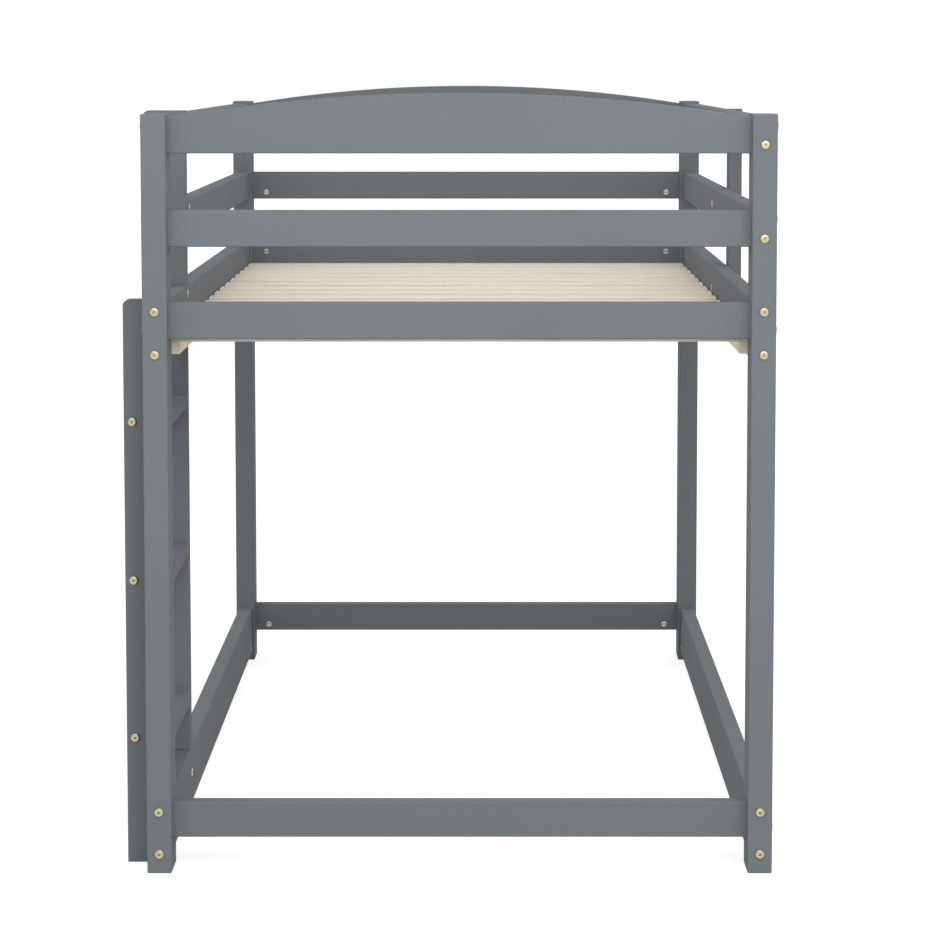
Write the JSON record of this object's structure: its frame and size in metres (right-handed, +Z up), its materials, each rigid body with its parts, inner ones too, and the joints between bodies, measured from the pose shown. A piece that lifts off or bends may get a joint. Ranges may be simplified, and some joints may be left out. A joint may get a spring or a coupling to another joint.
{
  "type": "bunk bed",
  "caption": "Low wooden bunk bed with arched ends, a slatted upper deck with side guards, an open floor frame below and an upright ladder, painted grey.",
  "frame": {"origin": "middle of the bounding box's base, on the floor", "axes": "+X towards the bed's right side, away from the ladder; +Y from the ladder end towards the other end, along the bed; +Z up"},
  "size_m": [1.139, 2.0384, 1.3349],
  "materials": {
    "grey_painted_pine": "satin grey paint over pine, with a faint grain",
    "bare_pine": "clear matt lacquer",
    "yellow_zinc_steel": "yellow zinc plating",
    "zinc_steel": "bright zinc plating",
    "beech": "bare wood"
  },
  "bodies": {
    "root": {"front_left_post": "grey_painted_pine", "front_right_post": "grey_painted_pine", "rear_left_post": "grey_painted_pine", "rear_right_post": "grey_painted_pine", "front_floor_board": "grey_painted_pine", "front_deck_board": "grey_painted_pine", "front_middle_board": "grey_painted_pine", "front_arched_board": "grey_painted_pine", "rear_floor_board": "grey_painted_pine", "rear_deck_board": "grey_painted_pine", "rear_middle_board": "grey_painted_pine", "rear_arched_board": "grey_painted_pine", "left_floor_rail": "grey_painted_pine", "left_deck_rail": "grey_painted_pine", "left_middle_guard": "grey_painted_pine", "left_top_guard": "grey_painted_pine", "right_floor_rail": "grey_painted_pine", "right_deck_rail": "grey_painted_pine", "right_middle_guard": "grey_painted_pine", "right_top_guard": "grey_painted_pine", "guard_plank": "grey_painted_pine", "ladder_short_stile": "grey_painted_pine", "ladder_tall_stile": "grey_painted_pine", "ladder_rung_low": "grey_painted_pine", "ladder_rung_middle": "grey_painted_pine", "ladder_rung_high": "grey_painted_pine", "left_ledger": "bare_pine", "right_ledger": "bare_pine", "slat_01": "bare_pine", "slat_02": "bare_pine", "slat_03": "bare_pine", "slat_04": "bare_pine", "slat_05": "bare_pine", "slat_06": "bare_pine", "slat_07": "bare_pine", "slat_08": "bare_pine", "slat_09": "bare_pine", "slat_10": "bare_pine", "slat_11": "bare_pine", "slat_12": "bare_pine", "slat_13": "bare_pine", "slat_14": "bare_pine", "slat_15": "bare_pine", "rail_bolts": "yellow_zinc_steel", "board_bolts": "yellow_zinc_steel", "rung_bolts": "yellow_zinc_steel", "stile_bolts": "yellow_zinc_steel", "plank_bolts": "yellow_zinc_steel", "slat_screws": "yellow_zinc_steel", "rail_nuts": "zinc_steel", "board_nuts": "zinc_steel", "rung_nuts": "zinc_steel", "threaded_inserts": "zinc_steel", "guard_cams": "zinc_steel", "cam_pins": "zinc_steel", "ledger_screws": "zinc_steel", "dowels": "beech"}
  },
  "joints": []
}
